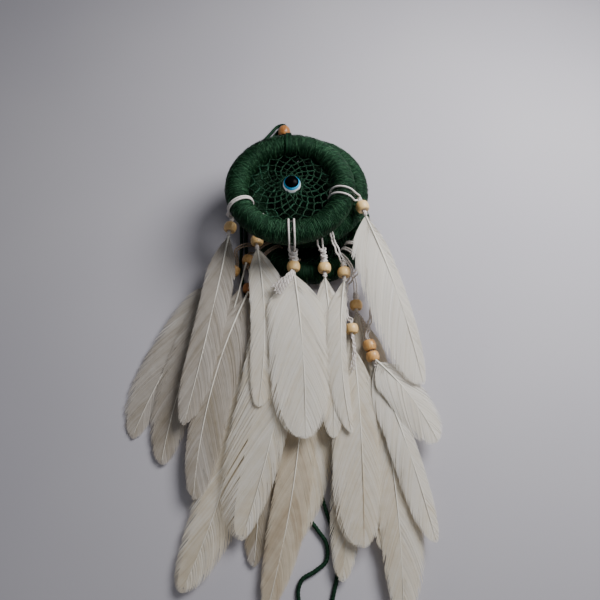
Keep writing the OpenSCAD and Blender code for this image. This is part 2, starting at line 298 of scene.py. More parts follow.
def wood_material(name, stops):
    m, nt, b = material(name, rough=0.42, spec=0.45, coat=0.15)
    grain = noise(nt, coords(nt, (900, 160, 900)), 1.0, 4.0, 0.6, 0.6)
    fine = noise(nt, coords(nt, (2600, 500, 2600)), 1.0, 2.0)
    t = math_node(nt, "ADD", math_node(nt, "MULTIPLY", grain, 0.75), math_node(nt, "MULTIPLY", fine, 0.25))
    t = math_node(nt, "ADD", t, math_node(nt, "MULTIPLY", math_node(nt, "SUBTRACT", tint_attr(nt), 0.5), 0.8))
    nt.links.new(ramp(nt, t, stops), b.inputs["Base Color"])
    bump(nt, b, fine, 0.25, 0.0001)
    return m


wood = wood_material("bead_wood", [(0.15, (0.34, 0.12, 0.03)), (0.42, (0.60, 0.31, 0.10)), (0.62, (0.80, 0.51, 0.20)), (0.9, (0.90, 0.65, 0.31))])
cane = wood_material("hoop_cane", [(0.1, (0.20, 0.11, 0.05)), (0.5, (0.42, 0.28, 0.14)), (0.9, (0.55, 0.40, 0.23))])


def glass_material(name, a, b_col):
    m, nt, b = material(name, rough=0.28, spec=0.4, coat=0.25)
    nt.links.new(ramp(nt, noise(nt, coords(nt), 700, 2.0, 0.5, 0.8), [(0.35, a), (0.65, b_col)]), b.inputs["Base Color"])
    return m


eye_navy = glass_material("eye_navy", (0.001, 0.004, 0.030), (0.003, 0.010, 0.075))
eye_white = glass_material("eye_white", (0.86, 0.92, 0.96), (0.93, 0.96, 0.98))
eye_blue = glass_material("eye_blue", (0.02, 0.34, 0.72), (0.07, 0.52, 0.88))
eye_black = glass_material("eye_black", (0.0006, 0.0006, 0.0008), (0.0012, 0.0012, 0.002))
# the white and blue bands glow faintly: painted light that makes them read brighter than the lamps leave them
for pale, painted_glow in ((eye_white, 0.22), (eye_blue, 0.06)):
    pale.node_tree.nodes["Principled BSDF"].inputs["Emission Color"].default_value = (0.85, 0.94, 1.0, 1) if pale is eye_white else (0.05, 0.45, 0.85, 1)
    pale.node_tree.nodes["Principled BSDF"].inputs["Emission Strength"].default_value = painted_glow
for dark in (eye_black, eye_navy):
    dark.node_tree.nodes["Principled BSDF"].inputs["Coat Weight"].default_value = 0.0
    dark.node_tree.nodes["Principled BSDF"].inputs["Specular IOR Level"].default_value = 0.05
eye_black.node_tree.nodes["Principled BSDF"].inputs["Specular IOR Level"].default_value = 0.03


def feather_material(name, stops, back, share):
    m, nt, b = material(name, rough=0.5, spec=0.3, sheen=0.2, sheen_rough=0.4)
    t = math_node(nt, "ADD", tint_attr(nt), math_node(nt, "MULTIPLY", math_node(nt, "SUBTRACT", noise(nt, coords(nt), 220, 3.0), 0.5), 0.30))
    col = ramp(nt, t, stops)
    nt.links.new(col, b.inputs["Base Color"])
    bump(nt, b, noise(nt, coords(nt), 3000, 2.0), 0.15, 0.0001)
    tr = nt.nodes.new("ShaderNodeBsdfTranslucent")
    tr.inputs["Color"].default_value = (*back, 1)
    mix = nt.nodes.new("ShaderNodeMixShader")
    mix.inputs["Fac"].default_value = share
    nt.links.new(b.outputs["BSDF"], mix.inputs[1])
    nt.links.new(tr.outputs["BSDF"], mix.inputs[2])
    nt.links.new(mix.outputs["Shader"], nt.nodes["Material Output"].inputs["Surface"])
    return m


vane_mat = feather_material("feather_vane", [(0.0, (0.50, 0.41, 0.30)), (0.30, (0.76, 0.70, 0.58)), (0.48, (0.87, 0.85, 0.79)), (0.7, (0.92, 0.92, 0.90))], (0.92, 0.85, 0.72), 0.44)
# a darker, greyer copy of the white vane for the feathers that lie in shade at the left: painted shade
painted_shade_vane = feather_material("feather_vane_painted_shade", [(0.0, (0.34, 0.29, 0.21)), (0.30, (0.52, 0.48, 0.43)), (0.48, (0.62, 0.59, 0.55)), (0.7, (0.74, 0.73, 0.71))], (0.84, 0.79, 0.71), 0.42)
rachis_mat = feather_material("feather_rachis", [(0.0, (0.45, 0.20, 0.10)), (0.3, (0.72, 0.62, 0.45)), (0.6, (0.87, 0.84, 0.74)), (1.0, (0.92, 0.91, 0.86))], (0.85, 0.75, 0.6), 0.12)


# ------------------------------------------------------------------ the hanging cord
LOOP_PTS = [
    [-3, 127, 6.5], [-6, 138, 2.6], [-9, 150, 2.4], [-10.2, 159, 3.6], [-10.2, 164, 4.6], [-10.2, 168, 4.6], [-10.2, 172.4, 4.3],
    [-12.4, 176, 2.6], [-17, 175.5, 1.3], [-21.5, 169.5, 1.3], [-27, 162, 1.3], [-33.5, 152, 1.3], [-38, 140, 1.3], [-40.5, 125, 1.3], [-41, 110, 1.3], [-40, 92, 1.3],
    [-39, 76, 1.3], [-39, 62, 1.3], [-36, 46, 1.3], [-30, 26, 1.3], [-24, 6, 1.3], [-18, -14, 1.3], [-11, -34, 1.3], [-5, -54, 1.3], [-1, -72, 1.3],
    [3, -85, 1.3], [9, -93, 1.3], [14, -100, 1.3], [14, -108, 1.3], [8, -113, 1.3], [1, -117, 1.3], [-1, -124, 1.3], [2, -131, 1.3], [9, -134, 1.3],
    [15, -130, 1.3], [18, -121, 1.3], [20, -112, 1.3], [19.5, -102, 1.3], [17, -92, 1.3], [13.5, -82, 1.3], [10, -70, 1.3], [6, -54, 1.3],
    [0, -36, 1.3], [-8, -15, 1.3], [-15, 5, 1.3], [-21, 25, 1.3], [-28, 44, 1.3], [-34, 62, 1.3], [-36, 76, 1.3], [-37, 92, 1.3], [-38, 110, 1.3],
    [-37.4, 124, 1.3], [-35, 138, 1.3], [-30.5, 149.5, 1.3], [-24.5, 159, 1.3], [-19.5, 166, 1.3], [-16, 171, 1.9], [-13.3, 172.6, 3.9], [-12.8, 170.6, 4.6], [-12.8, 168, 4.6], [-12.8, 164, 4.6],
    [-12, 158, 3.4], [-10.8, 149, 2], [-9.5, 138, 2], [-8, 127.5, 6],
]
loop = spline(LOOP_PTS, 0.55)
acc = Acc()
tube(acc, loop, 1.2, sides=15, lobes=3, depth=0.30, pitch=5.2, tint=0.42 + 0.12 * np.sin(np.arange(len(loop)) * 0.9))
g = rnd(3)
for i in range(520):
    k = int(g.integers(4, len(loop) - 8))
    d = g.normal(size=3)
    s = loop[k] + unit(d) * 1.05
    w = unit(loop[k + 3] - loop[k]) * g.uniform(1.0, 2.6) + unit(d) * g.uniform(0.1, 0.7) + g.normal(size=3) * 0.3
    e = s + w
    e[2] = max(e[2], 0.25)
    s[2] = max(s[2], 0.25)
    tube(acc, np.array([s, (s + e) / 2 + g.normal(size=3) * 0.1, e]), [0.06, 0.05, 0.03], sides=3, tint=0.7)
cord_obj = acc.make("hanging_cord_twisted", [cord_green])
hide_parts("hanging_cord")
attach(cord_obj, "ring_c")


# ------------------------------------------------------------------ yarn-wrapped rings
def wrap_piece(key, turns, seed):
    r = RINGS[key]
    g = rnd(seed)
    m_n, k_n = turns * 6, 52
    phi = np.arange(m_n) * 2 * np.pi / m_n
    th = -np.pi / 2 + np.arange(k_n) * 2 * np.pi / k_n
    ph, tt = np.meshgrid(phi, th, indexing="ij")
    warp = 0.45 * np.sin(5 * ph + 1.3 + seed) + 0.25 * np.sin(11 * ph + 2 * tt) + 0.16 * np.sin(23 * ph - 3 * tt + seed) + 0.6 * np.sin(2 * ph + np.cos(tt))
    u = turns * ph / (2 * np.pi) + (tt + np.pi / 2) / (2 * np.pi) + warp
    idx = np.floor(u).astype(int) % (turns + 7)
    lift = g.normal(size=turns + 7) * 0.08
    shade = g.normal(size=turns + 7) * 0.08
    ridge = np.abs(np.sin(np.pi * u)) ** 0.75
    ply = np.sin(2 * np.pi * (tt * 4.2 + u * 1.5))
    rr = TUBE_R - 0.56 + 0.48 * ridge + lift[idx] + 0.06 * ply * ridge
    if key == "c":
        zl = rr * np.sin(tt)
        zl = np.maximum(zl, -6.88)
    else:
        zl = rr * np.sin(tt)
    rad = r[3] + rr * np.cos(tt)
    v = np.stack([rad * np.cos(ph), rad * np.sin(ph), zl], -1).reshape(-1, 3)
    v = on_ring(r, v)
    i, k = np.meshgrid(np.arange(m_n), np.arange(k_n), indexing="ij")
    i2, k2 = (i + 1) % m_n, (k + 1) % k_n
    q = np.stack([i * k_n + k, i2 * k_n + k, i2 * k_n + k2, i * k_n + k2], -1).reshape(-1, 4)
    # the tone is lighter on the crest of each turn and darker in the grooves between turns: painted highlight and
    # painted shade; the third ring is a step darker all over, painted shade for lying under the other two; the
    # per-turn and ply terms are the yarn's own tone
    tint = 0.08 + 0.50 * ridge ** 2 + shade[idx] + 0.12 * ply - (0.08 if key == "c" else 0)
    a = Acc()
    a.add(v, [q], 0, tint.ravel())
    # loose fibres that lie along the turns, and a few that stand off; they sit mostly on the upper side and run
    # lighter than the yarn, partly their own tone and partly painted highlight
    for j in range(3200 if key != "c" else 400):
        p0, t0 = g.uniform(0, 2 * np.pi), g.uniform(-0.5, np.pi + 0.5)
        n = 6
        ta = t0 + np.linspace(0, g.uniform(0.25, 0.75), n)
        pa = p0 + np.cumsum(g.normal(size=n) * 0.004) + np.linspace(0, g.normal() * 0.035, n)
        off = TUBE_R + 0.05 + np.linspace(0, 1, n) ** 2 * g.uniform(0.0, 0.55)
        rad1 = r[3] + off * np.cos(ta)
        loc = np.stack([rad1 * np.cos(pa), rad1 * np.sin(pa), off * np.sin(ta)], -1)
        tube(a, on_ring(r, loc), np.linspace(0.12, 0.04, n), sides=3, tint=g.uniform(0.25, 1.25), caps=False)
    # a few stray strands of yarn that cross the turns
    for j in range(16):
        p0, t0 = g.uniform(0, 2 * np.pi), g.uniform(0.1, 1.3)
        n = 26
        ta = t0 + np.linspace(0, g.uniform(1.2, 2.2), n)
        pa = p0 + np.linspace(0, g.normal() * 0.16, n)
        off = TUBE_R + 0.10 - 0.35 * (np.abs(np.linspace(-1, 1, n)) ** 6)
        rad1 = r[3] + off * np.cos(ta)
        loc = np.stack([rad1 * np.cos(pa), rad1 * np.sin(pa), off * np.sin(ta)], -1)
        tube(a, on_ring(r, loc), 0.30, sides=6, tint=g.uniform(0.5, 0.8), lobes=2, depth=0.3, pitch=2.0)
    o = a.make("yarn_wrap_" + key, [yarn])
    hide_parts("wrap_" + key)
    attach(o, "ring_" + key)
    return o


for key, turns, seed in (("a", 250, 1), ("b", 254, 2), ("c", 250, 3)):
    wrap_piece(key, turns, seed)


# ------------------------------------------------------------------ webs
def web_piece(key, loops, rows, inner, centre, seed, eye, thick, lit):
    r = RINGS[key]
    g = rnd(seed)
    rim = r[3] - TUBE_R + 0.55
    radii = [rim + (inner - rim) * (i / rows) ** 0.92 for i in range(rows + 1)]
    node = {}
    for i in range(rows + 1):
        w = i / rows
        for k in range(loops):
            a = 2 * np.pi * (k + 0.5 * i) / loops
            j = 0.30 if i else 0.15
            c = np.array(centre) * w
            node[i, k] = np.array([c[0] + radii[i] * math.cos(a) + g.normal() * j, c[1] + radii[i] * math.sin(a) + g.normal() * j,
                                   -0.5 * math.sin(math.pi * w) + g.normal() * 0.15])
    acc = Acc()
    for i in range(rows):
        for k in range(loops):
            m = node[i + 1, k]
            for e, sgn in ((node[i, k], 1), (node[i, (k + 1) % loops], -1)):
                n = 9
                t = np.linspace(0, 1, n)[:, None]
                mid = (e + m) / 2
                inward = unit(np.array([-mid[0], -mid[1], 0])) * np.linalg.norm(e - m) * (0.26 if key == "a" else 0.13)
                p = (1 - t) ** 2 * e + 2 * t * (1 - t) * (mid + inward) + t ** 2 * m
                p = p + np.array([0, 0, 0.12 * sgn])
                # lit scales the tone of each thread; its low values for the deep webs are painted shade
                shade = g.uniform(0.10, 0.85) * lit
                tube(acc, on_ring(r, p), thick + 0.03 * g.normal(), sides=8, tint=shade + 0.15 * np.sin(np.arange(n) * 2.2), lobes=2, depth=0.35, pitch=1.9)
            # the hitch where the next row catches this one
            c = on_ring(r, m[None])[0]
            ax = unit(g.normal(size=3) + np.array([0, 0, 0.4]))
            b1 = unit(np.cross(ax, [1, 0.3, 0.2]))
            b2 = np.cross(ax, b1)
            s = np.linspace(0, 2 * np.pi * 1.6, 15)
            hitch = c + 0.52 * (np.cos(s)[:, None] * b1 + np.sin(s)[:, None] * b2) + np.linspace(-0.25, 0.25, 15)[:, None] * ax
            tube(acc, hitch, 0.26, sides=6, tint=0.6 * lit)
    # the innermost row is drawn up on a thread
    inner = [node[rows, k] for k in range(loops)]
    inner.append(inner[0])
    for a0, a1 in zip(inner[:-1], inner[1:]):
        p = np.array([a0, (a0 + a1) / 2 * 0.97 + 0.03 * np.array([*centre, 0]), a1])
        tube(acc, on_ring(r, spline(p, 0.6)), 0.4, sides=8, tint=0.55, lobes=2, depth=0.35, pitch=1.9)
    if eye:
        x0, x1 = centre[0] - radii[-1] - 0.4, centre[0] + radii[-1] + 0.4
        p = np.array([[x, centre[1], 0.0] for x in np.linspace(x0, x1, 24)])
        tube(acc, on_ring(r, p), 0.45, sides=8, tint=0.5, lobes=2, depth=0.3, pitch=1.9)
        for k in range(loops):
            a0 = node[rows, k]
            side = -1 if a0[0] < centre[0] else 1
            e = np.array([centre[0] + side * 5.6, centre[1], 0.1])
            p = np.array([a0, (a0 + e) / 2 + np.array([0, 0, 0.2]), e])
            tube(acc, on_ring(r, spline(p, 0.7)), 0.30, sides=6, tint=0.45)
    else:
        for k in range(loops):
            a0 = node[rows, k]
            p = np.array([a0, a0 * 0.55 + np.array([0, 0, 0.15]), np.array([g.normal() * 0.5, g.normal() * 0.5, 0.1])])
            tube(acc, on_ring(r, spline(p, 0.7)), 0.30, sides=6, tint=0.45)
    o = acc.make("web_thread_" + key, [thread if key == "a" else painted_shade_thread])
    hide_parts("web_" + key)
    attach(o, "ring_" + key)
    return o


# webs b and c are drawn denser, thicker, in the near-black thread and with a low lit factor: painted shade for the
# dark well under the front web
web_piece("a", 18, 6, 7.2, (1, 2), 11, True, 0.50, 0.85)
web_piece("b", 46, 17, 2.2, (0, 0), 12, False, 1.2, 0.2)
web_piece("c", 44, 17, 2.2, (0, 0), 13, False, 1.15, 0.25)


# ------------------------------------------------------------------ the eye bead
def eye_piece():
    c = on_ring(RINGS["a"], [[1, 2, 0]])[0]
    e = unit([0.015, -0.02, 1.0])
    a = unit(np.cross(e, [1, 0, 0]))
    b = np.cross(e, a)
    n, m = 90, 72
    pol = np.concatenate([[0], np.linspace(2, 178, n - 2), [180]])
    acc = Acc()
    rows = []
    for deg in pol:
        t = math.radians(deg)
        r = 5.42
        for edge, h in ((50, 0.03), (68, 0.03), (92, 0.02)):
            r += h / (1 + math.exp((deg - edge) / 0.8))
        q = np.arange(m) * 2 * np.pi / m
        p = c + r * (math.cos(t) * e + math.sin(t) * (np.cos(q)[:, None] * a + np.sin(q)[:, None] * b))
        rows.append(p)
    v = np.concatenate(rows)
    kk = np.arange(m)
    for lo, hi, mat in ((0, 50, 3), (50, 68, 2), (68, 92, 1), (92, 181, 0)):
        qs = []
        for i in range(n - 1):
            if lo <= (pol[i] + pol[i + 1]) / 2 < hi:
                qs.append(np.stack([i * m + kk, (i + 1) * m + kk, (i + 1) * m + (kk + 1) % m, i * m + (kk + 1) % m], -1))
        f = np.concatenate(qs)
        acc.f.append(f)
        acc.m.append(np.full(len(f), mat))
    acc.v.append(v)
    acc.tint.append(np.full(len(v), 0.5))
    acc.n = len(v)
    o = acc.make("eye_bead_glass", [eye_navy, eye_white, eye_blue, eye_black])
    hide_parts("eye_bead")
    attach(o, "eye")


eye_piece()

# ------------------------------------------------------------------ pendants
PEND = [
    ("a", -155, (-44, 80, 21), -10, -10, [(-44, 82, 32)], 0),
    ("a", -88, (-4, 53.5, 20), 0, 0, [(-4.6, 58, 34.5), (-4.2, 59.3, 28)], 2),
    ("a", -14, (38, 87, 34), 17, 30, [], 0),
    ("b", -78, (15, 53, 18.9), 2, 20, [(14, 62, 21.5)], 2),
    ("b", -66, (27, 50, 18.9), 1, 20, [(24.5, 60, 21.5)], 1),
    ("a", -128, (-27, 71.8, 19), 2, -62, [(-28.4, 74.5, 27)], 0),
    ("c", -162, (-42.5, 56, 8), -22, 0, [(-35, 74.5, 8), (-41.5, 70.5, 8)], 0),
    ("c", -153, (-33.5, 63.5, 7.5), -8, 0, [(-31, 68, 7.5)], 0),
    ("c", -144, (-31.8, 43, 9.6), -11, 12, [(-26.6, 56, 8)], 0),
    ("c", -51, (35, 33, 7), 0, 0, [(35, 48, 7.2)], 1),
    ("c", -40, (31, 16, 12.5), 1, 50, [(37.5, 56, 13), (29, 44, 12.8), (27.5, 32, 12.5), (29, 23, 12.5)], 0),
    ("c", -29, (42.5, -1, 13.2), 12, 0, [(48, 55, 8), (43.5, 26, 11)], 0),
    ("c", -110, (2, 22, 6.5), -5, 0, [(-2, 38, 6.8)], 0),
]
# half the gap between the two strands as they go over the ring
SPREAD = [0.65, 1.6, 2.3, 1.5, 0.8, 0.8, 0.7, 0.7, 0.7, 0.7, 0.8, 0.7, 0.7]


def head_dir(h):
    h = math.radians(h)
    return np.array([math.sin(h), -math.cos(h), 0])


def head_side(h):
    h = math.radians(h)
    return np.array([math.cos(h), math.sin(h), 0])


def pendant_path(n):
    key, phi, b, head, last, way, knots = PEND[n - 1]
    r = RINGS[key]
    p = math.radians(phi)
    c, s = math.cos(math.radians(r[4])), math.sin(math.radians(r[4]))
    m = np.array([r[0] + r[3] * math.cos(p), r[1] + r[3] * math.sin(p) * c, r[2] + r[3] * math.sin(p) * s])
    o = np.array([math.cos(p), math.sin(p) * c, math.sin(p) * s])
    u = np.array([0, -s, c])
    tan = np.array([-math.sin(p), math.cos(p), 0])
    d, sd = head_dir(head), head_side(head)
    s0 = -tan if np.dot(tan, sd) < 0 else tan
    rad = TUBE_R + (1.15 if n == 3 else 0.85)
    first = 215 if n in (1, 2, 3) else -178 if n == 6 else 190
    arc = [m + rad * (math.cos(math.radians(a)) * o + math.sin(math.radians(a)) * u) for a in np.linspace(first, last, 12)]
    b = np.array(b, float)
    back = 10.5 if n == 12 else 3.6
    if key == "a" and n != 3:
        lift = b - (back + 2.7) * d + np.array([0, 0, 2.6])
    else:
        lift = b - (back + (1.2 if n == 8 else 2.4)) * d
    return arc, [np.array(w, float) for w in way] + [lift], b, d, sd, s0, back


def knot(acc, centre, axis, size, strand, seed, tint=0.6):
    """An overhand knot's windings: a closed curve that wraps the cord, drawn out along it."""
    g = rnd(seed)
    axis = unit(axis)
    b1 = unit(np.cross(axis, [0.2, 0.3, 1]))
    b2 = np.cross(axis, b1)
    s = np.linspace(0, 2 * np.pi, 70)
    turn = 3
    rr = size * (0.62 + 0.28 * np.cos(4 * s + g.uniform(0, 6)))
    p = centre + rr[:, None] * (np.cos(turn * s)[:, None] * b1 + np.sin(turn * s)[:, None] * b2) + (size * 1.0 * np.sin(2 * s + 0.6))[:, None] * axis
    tube(acc, p, strand, sides=9, tint=tint + 0.15 * np.sin(s * 9), lobes=2, depth=0.3, pitch=1.6)
    s = np.linspace(0, 2 * np.pi, 50)
    rr = size * (0.50 + 0.30 * np.sin(3 * s))
    p = centre + rr[:, None] * (np.cos(2 * s + 1)[:, None] * b1 + np.sin(2 * s + 1)[:, None] * b2) + (size * 0.9 * np.cos(s))[:, None] * axis
    tube(acc, p, strand, sides=9, tint=tint - 0.05 + 0.15 * np.sin(s * 7), lobes=2, depth=0.3, pitch=1.6)


def tail(acc, points, strands, seed, r=0.34, spread=0.8):
    """Loose crimped ends of cord."""
    g = rnd(seed)
    base = spline(points, 0.5)
    t, a, b = moving_frames(base, (0, 0, 1))
    s = np.linspace(0, 1, len(base))
    for j in range(strands):
        off = (j - (strands - 1) / 2) / max(1, strands - 1) * 2 * spread if strands > 1 else 0
        f1, p1 = g.uniform(9, 15), g.uniform(0, 6)
        p = base + b * (off * (0.35 + 0.9 * s) + 0.22 * np.sin(f1 * s * 2 + p1))[:, None] + a * (0.16 * np.sin(f1 * s * 1.7 + p1) + 0.1 * j)[:, None]
        cut = int(len(p) * g.uniform(0.86, 1.0))
        # the tone alternates quickly along each end: painted light and shade on the crimps
        tube(acc, p[:cut], np.linspace(r, r * 0.7, cut), sides=7, tint=0.42 + 0.40 * np.sin(s[:cut] * 60 + j), lobes=2, depth=0.4, pitch=1.3)


def cord_piece(n):
    arc, body, b, d, sd, s0, back = pendant_path(n)
    g = rnd(100 + n)
    knots = PEND[n - 1][6]
    pts = arc + body + [b - back * d, b, b + 3.6 * d, b + 5.4 * d]
    na, nb = len(arc), len(body)
    spread = SPREAD[n - 1]
    widths = [spread] * na + [spread * (1 - (i + 1) / (nb + 0.5)) + 0.45 for i in range(nb)] + [0.5, 0.45, 0.45, 0.5]
    if knots == 2:
        widths[na:na + nb] = [spread] * (nb - 2) + [0.5, 0.5]
    sides = [s0] * na + [unit(s0 * (1 - (i + 1) / (nb + 1)) + sd * (i + 1) / (nb + 1)) for i in range(nb)] + [sd] * 4
    line = spline(pts, 0.45)
    wid = spline([[w, 0, 0] for w in widths], 1)  # placeholder shape, resampled below
    # resample the widths and sides at the line's own stations
    st = np.concatenate([[0], np.cumsum(np.linalg.norm(np.diff(np.array(pts), axis=0), axis=1))])
    ln = np.concatenate([[0], np.cumsum(np.linalg.norm(np.diff(line, axis=0), axis=1))])
    at = ln / ln[-1] * st[-1]
    wv = np.interp(at, st, widths)
    sv = np.stack([np.interp(at, st, np.array(sides)[:, k]) for k in range(3)], -1)
    t = np.gradient(line, axis=0)
    t /= np.linalg.norm(t, axis=1, keepdims=True)
    sv = sv - (sv * t).sum(1, keepdims=True) * t
    sv /= np.linalg.norm(sv, axis=1, keepdims=True)
    up = np.cross(sv, t)
    acc = Acc()
    crimp = 0.28 if n in (5, 9, 11, 12) else 0.08
    for sgn in (-1, 1):
        f, ph = g.uniform(0.8, 1.1), g.uniform(0, 6)
        free = np.clip((at - st[na - 1]) / 4, 0, 1)
        p = line + sv * (sgn * wv + crimp * free * np.sin(at * f + ph))[:, None] + up * (0.5 * crimp * free * np.sin(at * f * 1.3 + ph))[:, None]
        p[:, 2] = np.maximum(p[:, 2], 0.8)
        tube(acc, p, 0.60, sides=12, tint=0.62 + 0.10 * np.sin(at * 3.1 + sgn), lobes=2, depth=0.34, pitch=2.3)
    if knots:
        for i in range(knots):
            c = body[-1 - i]
            nxt = (b - back * d) if i == 0 else body[-i]
            big = 3.0 if n == 2 else 2.3 if n == 4 else 1.8
            knot(acc, c + np.array([0, 0, 0.8 if n == 2 else 0.5]), nxt - c, big, 0.66 if n == 2 else 0.58, 300 + 10 * n + i, tint=0.68)
            if i == 0:
                knot(acc, (c + nxt) / 2 + np.array([0, 0, 0.8 if n == 2 else 0.5]), nxt - c, big * 0.85, 0.58, 350 + 10 * n, tint=0.62)
    if n == 3:
        knot(acc, body[-1] + 1.0 * (b - body[-1]) * 0.2, b - body[-1], 1.5, 0.45, 333)
    if n == 1:
        knot(acc, body[-1] + 0.35 * (b - body[-1]), b - body[-1], 1.15, 0.45, 331)
    # the knot below the bead, which holds the quills
    knot(acc, b + 4.6 * d, d, 1.25, 0.42, 400 + n, tint=0.5)
    if n == 2:
        tail(acc, [b + 4.2 * d + [0, 0, 2.2], b + [-2.2, -8.2, 3.6], b + [-6.6, -13.2, 3.4], b + [-12, -18.8, 2.8]], 11, 51, r=0.40, spread=3.2)
    if n == 11:
        tail(acc, [b + 4.2 * d + [0, 0, 1.6], b + [0.8, -12, 2.4], b + [0.2, -20, 2.2], b + [-1.6, -27, 1.8]], 4, 52, spread=1.1)
    if n == 10:
        tail(acc, [b + 4.2 * d + [0, 0, 1.2], b + [3.5, -12, 3.6], b + [4.4, -20, 3.4]], 2, 53, spread=0.6)
    # soft fibres on the cord
    for i in range(70):
        k = int(g.integers(2, len(line) - 4))
        s = line[k] + sv[k] * g.uniform(-1, 1) * (wv[k] + 0.6) + up[k] * 0.55
        e = s + t[k] * g.uniform(0.5, 1.6) + sv[k] * g.normal() * 0.5 + up[k] * g.uniform(0, 0.6)
        tube(acc, np.array([s, (s + e) / 2 + g.normal(size=3) * 0.08, e]), [0.05, 0.04, 0.02], sides=3, tint=0.9, caps=False)
    # cords 7, 8, 9 and 13 take the painted-shade copy of the white cord
    o = acc.make("cord_white_%d" % n, [painted_shade_cord if n in (7, 8, 9, 13) else white_cord])
    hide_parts("cord_%d" % n)
    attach(o, "pendant_%d" % n)


def bead_mesh(acc, centre, head, r, length, bore, seed, tint):
    """A turned bead: rounded barrel, dished ends and an open bore, a little out of true."""
    g = rnd(seed)
    half = length / 2
    prof = []
    for t in np.linspace(-1, 1, 9):
        prof.append((bore, -t * (half - 0.35)))
    face = math.sqrt(r * r - half * half)
    prof += [(bore + 0.25, -half + 0.02), (face * 0.8 + bore * 0.2, -half)]
    a0 = math.asin(half / r)
    for a in np.linspace(-a0 * 0.97, a0 * 0.97, 17):
        prof.append((r * math.cos(a) ** 0.72, half * math.sin(a) / math.sin(a0)))
    prof += [(face * 0.8 + bore * 0.2, half), (bore + 0.25, half - 0.02)]
    prof = np.array(prof)
    m = 40
    q = np.arange(m) * 2 * np.pi / m
    wob = 1 + 0.012 * np.sin(2 * q + g.uniform(0, 6)) + 0.008 * np.sin(3 * q + g.uniform(0, 6))
    d, s = head_dir(head), head_side(head)
    up = np.array([0, 0, 1.0])
    rad = prof[:, 0][:, None] * wob[None]
    v = (np.asarray(centre, float) + rad[:, :, None] * (np.cos(q)[None, :, None] * s + np.sin(q)[None, :, None] * up)
         + prof[:, 1][:, None, None] * d)
    n = len(prof)
    i, k = np.meshgrid(np.arange(n), np.arange(m), indexing="ij")
    i2, k2 = (i + 1) % n, (k + 1) % m
    f = np.stack([i * m + k, i * m + k2, i2 * m + k2, i2 * m + k], -1).reshape(-1, 4)
    acc.add(v.reshape(-1, 3), [f], 0, tint)


# each bead's tone on its grain ramp; the low tones of beads 7, 8 and 9 are painted shade for beads that lie in deep
# shade under the rings
BEAD_TINT = [0.80, 0.80, 0.84, 0.78, 0.74, 0.76, 0.50, 0.50, 0.12, 0.70, 0.78, 0.46, 0.6]


def bead_piece(n):
    key, phi, b, head, last, way, knots = PEND[n - 1]
    acc = Acc()
    bead_mesh(acc, b, head, 3.95 if n == 12 else 4.05, 5.5, 1.45, 500 + n, BEAD_TINT[n - 1])
    name = "bead_%d" % n
    if n == 12:
        bead_mesh(acc, np.array(b) - 6.9 * head_dir(head), head, 4.0, 6.2, 1.45, 550, 0.42)
        name = "beads_12"
    o = acc.make("wood_" + name, [wood])
    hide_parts(name)
    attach(o, "pendant_%d" % n)


acc = Acc()
bead_mesh(acc, (-11.5, 168, 4.6), 0, 4.5, 7.4, 2.6, 599, 0.12)
top = acc.make("wood_top_bead", [wood])
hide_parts("top_bead")
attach(top, "ring_c")


# ------------------------------------------------------------------ ties at the back of the rings
def tie_piece(name, key, phi, first, last, end, body, count):
    r = RINGS[key]
    p = math.radians(phi)
    c, s = math.cos(math.radians(r[4])), math.sin(math.radians(r[4]))
    m = np.array([r[0] + r[3] * math.cos(p), r[1] + r[3] * math.sin(p) * c, r[2] + r[3] * math.sin(p) * s])
    o = np.array([math.cos(p), math.sin(p) * c, math.sin(p) * s])
    u = np.array([0, -s, c])
    side = np.array([-math.sin(p), math.cos(p), 0])
    pts = [m + (TUBE_R + 0.75) * (math.cos(math.radians(a)) * o + math.sin(math.radians(a)) * u) for a in np.linspace(first, last, 9)]
    pts += [np.array(e, float) for e in end]
    line = spline(pts, 0.5)
    acc = Acc()
    g = rnd(hash_of(name))
    w = np.linspace(0, 1, len(line))
    for j in range(count):
        off = (j - (count - 1) / 2) * 0.95
        q = line + side * (off * (1 - 0.55 * w) + 0.10 * np.sin(w * 9 + j))[:, None]
        tube(acc, q, 0.5, sides=10, tint=0.48 + 0.12 * g.normal(), lobes=2, depth=0.3, pitch=2.2)
    obj = acc.make("yarn_" + name, [yarn])
    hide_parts(name)
    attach(obj, body)


def hash_of(text):
    return sum((i + 1) * ord(ch) for i, ch in enumerate(text)) % 100000


tie_piece("tie_a", "a", 92, 163, -5, [(-7, 139.6, 31.6)], "ring_a", 5)
tie_piece("tie_b", "b", 108, 60, -30, [(-8.5, 148, 11.5), (-8.6, 150, 8.4)], "ring_b", 4)
